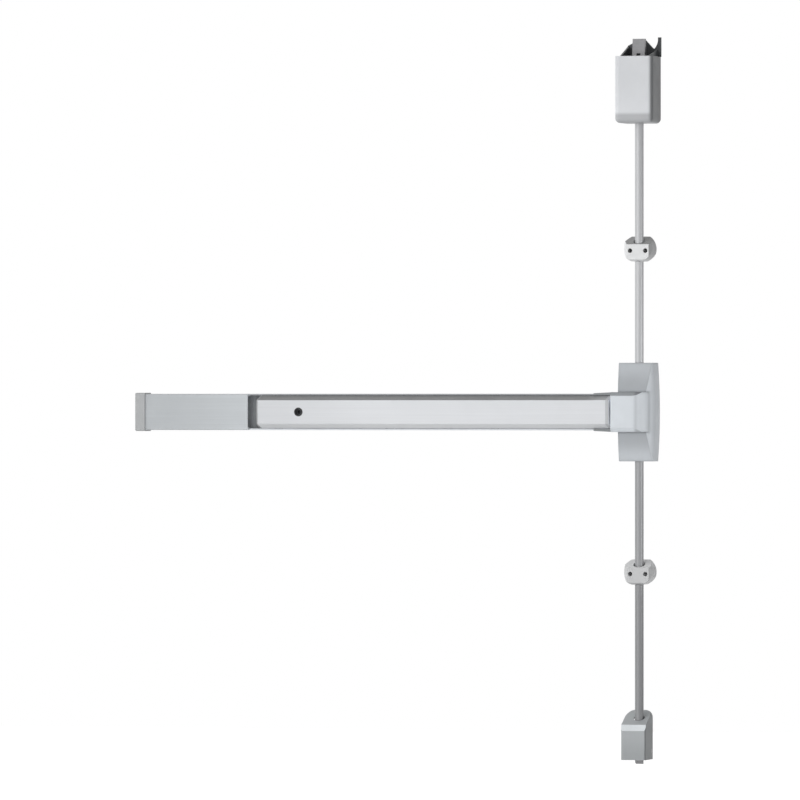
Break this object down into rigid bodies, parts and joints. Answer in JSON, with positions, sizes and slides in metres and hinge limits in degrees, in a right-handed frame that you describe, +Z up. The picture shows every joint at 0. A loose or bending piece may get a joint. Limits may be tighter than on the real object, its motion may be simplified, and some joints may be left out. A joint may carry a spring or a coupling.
{
  "type": "vertical rod exit device",
  "caption": "Surface vertical rod exit device: push pad in a channel, centre case, rods in guides, pivoting top latch bolt and sliding bottom bolt.",
  "frame": {"origin": "on the door's face, in the middle of the centre case's four mounting holes", "axes": "+X along the bar towards the rods and past them, +Y into the door, +Z up along the rods"},
  "size_m": [0.8906, 0.062, 1.192],
  "materials": {
    "satin_aluminium": "satin",
    "cast_cover": "satin sprayed aluminium",
    "dark_zinc": "matt grey",
    "zinc_steel": "zinc plated",
    "bright_steel": "plated",
    "rod_steel": "satin",
    "hardened_steel": "satin",
    "spring_steel": "oiled",
    "black_nylon": "matt",
    "grey_nylon": "matt",
    "bumper_rubber": "matt"
  },
  "bodies": {
    "root": {"channel": "satin_aluminium", "cover_plate": "satin_aluminium", "end_cap": "cast_cover", "end_cap_screws": "bright_steel", "end_bracket": "zinc_steel", "head_adapter": "dark_zinc", "joint_plate": "zinc_steel", "joint_screws": "bright_steel", "crank_bracket_left": "zinc_steel", "crank_bracket_right": "zinc_steel", "bracket_rivets": "bright_steel", "crank_pivot_pins": "bright_steel", "draw_bar_guides": "black_nylon", "pad_bumpers": "bumper_rubber", "return_springs": "spring_steel", "spring_posts": "bright_steel", "dogging_catch": "zinc_steel", "center_base_plate": "zinc_steel", "center_cover": "cast_cover", "center_cover_screws": "bright_steel", "lift_crank_pivots": "bright_steel", "lift_crank_clips": "bright_steel", "rod_bushings": "black_nylon", "upper_rod_guide": "cast_cover", "lower_rod_guide": "cast_cover", "top_latch_chassis": "zinc_steel", "top_latch_cover": "cast_cover", "top_latch_cover_screws": "bright_steel", "top_latch_pivot_pin": "bright_steel", "bottom_latch_chassis": "zinc_steel", "bottom_latch_cover": "cast_cover", "bottom_latch_cover_screws": "bright_steel"},
    "push_pad": {"push_pad": "satin_aluminium", "pad_end_cap_left": "grey_nylon", "pad_end_cap_right": "grey_nylon", "pad_lug_left": "zinc_steel", "pad_lug_right": "zinc_steel", "pad_lug_pins": "bright_steel", "dogging_bushing": "black_nylon"},
    "dogging": {"dogging_spindle": "bright_steel"},
    "crank_left": {"crank_left": "hardened_steel"},
    "crank_right": {"crank_right": "hardened_steel"},
    "draw_bar": {"draw_bar": "zinc_steel", "draw_bar_pins": "bright_steel", "draw_head": "hardened_steel"},
    "lift_crank_upper": {"lift_crank_upper": "hardened_steel"},
    "lift_crank_lower": {"lift_crank_lower": "hardened_steel"},
    "top_rod": {"top_rod": "rod_steel", "top_rod_clevis": "hardened_steel", "top_rod_tang": "hardened_steel", "top_rod_pins": "bright_steel", "top_lock_nuts": "bright_steel"},
    "bottom_rod": {"bottom_rod": "rod_steel", "bottom_rod_clevis": "hardened_steel", "bottom_rod_pin": "bright_steel", "bottom_lock_nuts": "bright_steel", "bottom_bolt": "hardened_steel"},
    "top_bolt": {"top_bolt": "hardened_steel"}
  },
  "joints": [
    {"name": "push_pad_slide", "type": "slide", "parent": "root", "child": "push_pad", "axis": [0, 1, 0], "range_m": [0, 0.0156], "stiffness_N_per_m": 1500, "springref_m": -0.012, "deforming": ["return_springs"]},
    {"name": "dogging_turn", "type": "hinge", "parent": "push_pad", "child": "dogging", "pos_m": [-0.571, -0.04, 0], "axis": [0, 1, 0], "range_deg": [0, 90]},
    {"name": "crank_left_turn", "type": "hinge", "parent": "root", "child": "crank_left", "pos_m": [-0.52, -0.024, 0], "axis": [0, 0, 1], "range_deg": [-36.02, 0]},
    {"name": "crank_right_turn", "type": "hinge", "parent": "root", "child": "crank_right", "pos_m": [-0.15, -0.024, 0], "axis": [0, 0, 1], "range_deg": [-36.02, 0]},
    {"name": "draw_bar_slide", "type": "slide", "parent": "root", "child": "draw_bar", "axis": [1, 0, 0], "range_m": [0, 0.0091]},
    {"name": "lift_crank_upper_turn", "type": "hinge", "parent": "root", "child": "lift_crank_upper", "pos_m": [0.0165, -0.026, 0.03], "axis": [0, 1, 0], "range_deg": [-36.02, 0]},
    {"name": "lift_crank_lower_turn", "type": "hinge", "parent": "root", "child": "lift_crank_lower", "pos_m": [0.0165, -0.026, -0.03], "axis": [0, 1, 0], "range_deg": [0, 36.02]},
    {"name": "top_rod_slide", "type": "slide", "parent": "root", "child": "top_rod", "axis": [0, 0, -1], "range_m": [0, 0.01073]},
    {"name": "bottom_rod_slide", "type": "slide", "parent": "root", "child": "bottom_rod", "axis": [0, 0, 1], "range_m": [0, 0.01073]},
    {"name": "top_bolt_turn", "type": "hinge", "parent": "root", "child": "top_bolt", "pos_m": [0, -0.01, 0.575], "axis": [1, 0, 0], "range_deg": [0, 37.07]}
  ],
  "couplings": [
    {"joint": "crank_left_turn", "follows": "push_pad_slide", "rad_per_m": -40.287},
    {"joint": "crank_right_turn", "follows": "push_pad_slide", "rad_per_m": -40.287},
    {"joint": "draw_bar_slide", "follows": "push_pad_slide", "ratio": 0.58334},
    {"joint": "lift_crank_upper_turn", "follows": "push_pad_slide", "rad_per_m": -40.287},
    {"joint": "lift_crank_lower_turn", "follows": "push_pad_slide", "rad_per_m": 40.287},
    {"joint": "top_rod_slide", "follows": "push_pad_slide", "ratio": 0.68751},
    {"joint": "bottom_rod_slide", "follows": "push_pad_slide", "ratio": 0.68751},
    {"joint": "top_bolt_turn", "follows": "push_pad_slide", "rad_per_m": 41.461}
  ]
}
